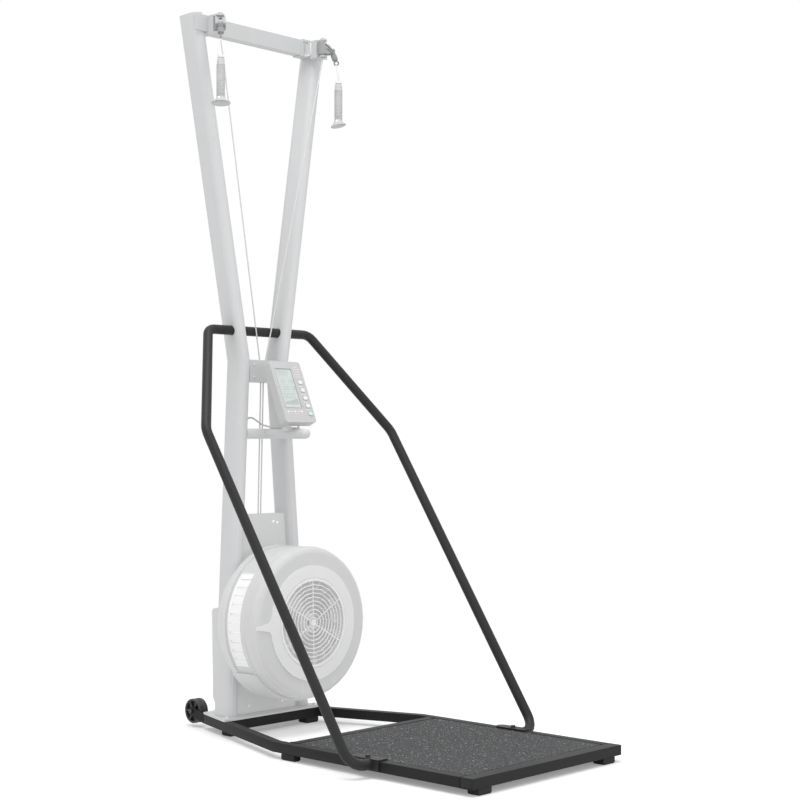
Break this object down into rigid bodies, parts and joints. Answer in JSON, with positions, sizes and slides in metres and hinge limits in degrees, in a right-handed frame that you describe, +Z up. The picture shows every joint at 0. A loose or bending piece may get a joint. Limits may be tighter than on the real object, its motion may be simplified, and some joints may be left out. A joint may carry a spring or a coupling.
{
  "type": "ski trainer machine",
  "caption": "Standing ski trainer: tapering two-post tower with pull handles on cords, caged air fan with damper ring, tilting monitor, hand rails and a low rubber-topped platform on feet.",
  "frame": {"origin": "on the floor, under the middle of the whole machine's outline", "axes": "+Z up, +X to the right of a user standing on the platform and facing the tower, +Y away from the user towards the tower's back"},
  "size_m": [0.757, 1.2595, 2.0772],
  "materials": {
    "black_tube": "satin black powder coat with a fine grain",
    "deck_board": "black-stained board under the mat",
    "speckled_rubber": "charcoal granulated rubber with pale flecks",
    "black_rubber": "matt black moulded rubber",
    "wheel_plastic": "dark grey moulded nylon",
    "grey_tube": "pale grey powder coat",
    "grey_casting": "pale grey painted casting",
    "grey_plastic": "pale grey moulded plastic with a fine texture",
    "light_plastic": "lighter grey moulded plastic",
    "bearing_steel": "bright ground steel",
    "pale_cord": "pale braided cord",
    "lead_black": "grey round flexible lead",
    "display": "clear window over a pale green display",
    "white_key": "white silicone rubber keys",
    "green_key": "pale green silicone rubber key"
  },
  "bodies": {
    "frame": {"fan_housing_back": "grey_plastic", "fan_housing_front": "grey_plastic", "fan_side_screen": "light_plastic", "fan_grille": "light_plastic", "fan_bearing": "bearing_steel", "stand_side_tube_left": "black_tube", "stand_side_tube_right": "black_tube", "stand_front_tube": "black_tube", "stand_deck_tube": "black_tube", "stand_rear_cross_tube": "black_tube", "deck_panel": "deck_board", "deck_mat": "speckled_rubber", "foot_front_left": "black_rubber", "foot_middle_left": "black_rubber", "foot_rear_left": "black_rubber", "foot_front_right": "black_rubber", "foot_middle_right": "black_rubber", "foot_rear_right": "black_rubber", "wheel_bracket_left": "black_tube", "wheel_bracket_right": "black_tube", "rail_upper_left": "black_tube", "rail_lower_left": "black_tube", "rail_upper_right": "black_tube", "rail_lower_right": "black_tube", "rail_cross_tube": "grey_tube", "upright_left": "grey_tube", "top_bracket_left": "grey_casting", "upright_right": "grey_tube", "top_bracket_right": "grey_casting", "tower_foot_plate": "grey_tube", "top_crossbar": "grey_tube", "waist_pulley_box": "grey_plastic", "base_front_panel": "grey_plastic", "rear_housing": "grey_plastic", "drive_cord_left": "pale_cord", "drive_cord_right": "pale_cord", "monitor_arm": "grey_tube", "monitor_lead": "lead_black"},
    "fan_rotor": {"fan_wheel": "grey_plastic", "fan_shaft": "bearing_steel"},
    "damper": {"damper_ring": "light_plastic"},
    "monitor": {"monitor_case": "grey_plastic", "monitor_screen": "display"},
    "key_1": {"key_1": "white_key"},
    "key_2": {"key_2": "white_key"},
    "key_3": {"key_3": "white_key"},
    "key_4": {"key_4": "white_key"},
    "key_start": {"key_start": "green_key"},
    "head_left": {"pulley_head_left": "grey_casting"},
    "head_pulley_left": {"head_pulley_left": "light_plastic"},
    "waist_pulley_left": {"waist_pulley_left": "light_plastic"},
    "handle_left": {"handle_left": "grey_plastic", "handle_cord_left": "pale_cord"},
    "wheel_left": {"wheel_left": "wheel_plastic"},
    "head_right": {"pulley_head_right": "grey_casting"},
    "head_pulley_right": {"head_pulley_right": "light_plastic"},
    "waist_pulley_right": {"waist_pulley_right": "light_plastic"},
    "handle_right": {"handle_right": "grey_plastic", "handle_cord_right": "pale_cord"},
    "wheel_right": {"wheel_right": "wheel_plastic"}
  },
  "joints": [
    {"name": "fan_spin", "type": "hinge", "parent": "frame", "child": "fan_rotor", "pos_m": [0, 0.33055, 0.3198], "axis": [0, 0.9998, -0.0212], "continuous": true},
    {"name": "damper_turn", "type": "hinge", "parent": "frame", "child": "damper", "pos_m": [0, 0.22777, 0.32198], "axis": [0, 0.9998, -0.0212], "range_deg": [-45, 45]},
    {"name": "monitor_tilt", "type": "hinge", "parent": "frame", "child": "monitor", "pos_m": [0, 0.32341, 0.90487], "axis": [1, 0, 0], "range_deg": [-10, 15]},
    {"name": "key_1_press", "type": "slide", "parent": "monitor", "child": "key_1", "axis": [0, 0.9178, -0.3972], "range_m": [0, 0.001], "stiffness_N_per_m": 300, "springref_m": -0.001},
    {"name": "key_2_press", "type": "slide", "parent": "monitor", "child": "key_2", "axis": [0, 0.9178, -0.3972], "range_m": [0, 0.001], "stiffness_N_per_m": 300, "springref_m": -0.001},
    {"name": "key_3_press", "type": "slide", "parent": "monitor", "child": "key_3", "axis": [0, 0.9178, -0.3972], "range_m": [0, 0.001], "stiffness_N_per_m": 300, "springref_m": -0.001},
    {"name": "key_4_press", "type": "slide", "parent": "monitor", "child": "key_4", "axis": [0, 0.9178, -0.3972], "range_m": [0, 0.001], "stiffness_N_per_m": 300, "springref_m": -0.001},
    {"name": "key_start_press", "type": "slide", "parent": "monitor", "child": "key_start", "axis": [0, 0.9178, -0.3972], "range_m": [0, 0.001], "stiffness_N_per_m": 300, "springref_m": -0.001},
    {"name": "pulley_head_swivel_left", "type": "hinge", "parent": "frame", "child": "head_left", "pos_m": [-0.205, 0.402, 2.036], "axis": [0, 0, 1], "range_deg": [-10, 70]},
    {"name": "handle_pull_left", "type": "slide", "parent": "head_left", "child": "handle_left", "axis": [-0.2103, -0.2693, -0.9398], "range_m": [0, 1.3], "stiffness_N_per_m": 12, "springref_m": -0.6},
    {"name": "head_pulley_spin_left", "type": "hinge", "parent": "head_left", "child": "head_pulley_left", "pos_m": [-0.21238, 0.39254, 2.036], "axis": [0.7882, -0.6154, 0], "range_deg": [0, 6209]},
    {"name": "waist_pulley_spin_left", "type": "hinge", "parent": "frame", "child": "waist_pulley_left", "pos_m": [-0.0233, 0.448, 1.048], "axis": [0, 1, 0], "range_deg": [-4072, 0]},
    {"name": "wheel_spin_left", "type": "hinge", "parent": "frame", "child": "wheel_left", "pos_m": [-0.126, 0.594, 0.046], "axis": [1, 0, 0], "continuous": true},
    {"name": "pulley_head_swivel_right", "type": "hinge", "parent": "frame", "child": "head_right", "pos_m": [0.205, 0.402, 2.036], "axis": [0, 0, 1], "range_deg": [-70, 10]},
    {"name": "handle_pull_right", "type": "slide", "parent": "head_right", "child": "handle_right", "axis": [0.2103, -0.2693, -0.9398], "range_m": [0, 1.3], "stiffness_N_per_m": 12, "springref_m": -0.6},
    {"name": "head_pulley_spin_right", "type": "hinge", "parent": "head_right", "child": "head_pulley_right", "pos_m": [0.21238, 0.39254, 2.036], "axis": [0.7882, 0.6154, 0], "range_deg": [0, 6209]},
    {"name": "waist_pulley_spin_right", "type": "hinge", "parent": "frame", "child": "waist_pulley_right", "pos_m": [0.0233, 0.448, 1.048], "axis": [0, 1, 0], "range_deg": [0, 4072]},
    {"name": "wheel_spin_right", "type": "hinge", "parent": "frame", "child": "wheel_right", "pos_m": [0.126, 0.594, 0.046], "axis": [1, 0, 0], "continuous": true}
  ],
  "couplings": [
    {"joint": "head_pulley_spin_left", "follows": "handle_pull_left", "rad_per_m": 83.333},
    {"joint": "waist_pulley_spin_left", "follows": "handle_pull_left", "rad_per_m": -54.645},
    {"joint": "head_pulley_spin_right", "follows": "handle_pull_right", "rad_per_m": 83.333},
    {"joint": "waist_pulley_spin_right", "follows": "handle_pull_right", "rad_per_m": 54.645}
  ]
}
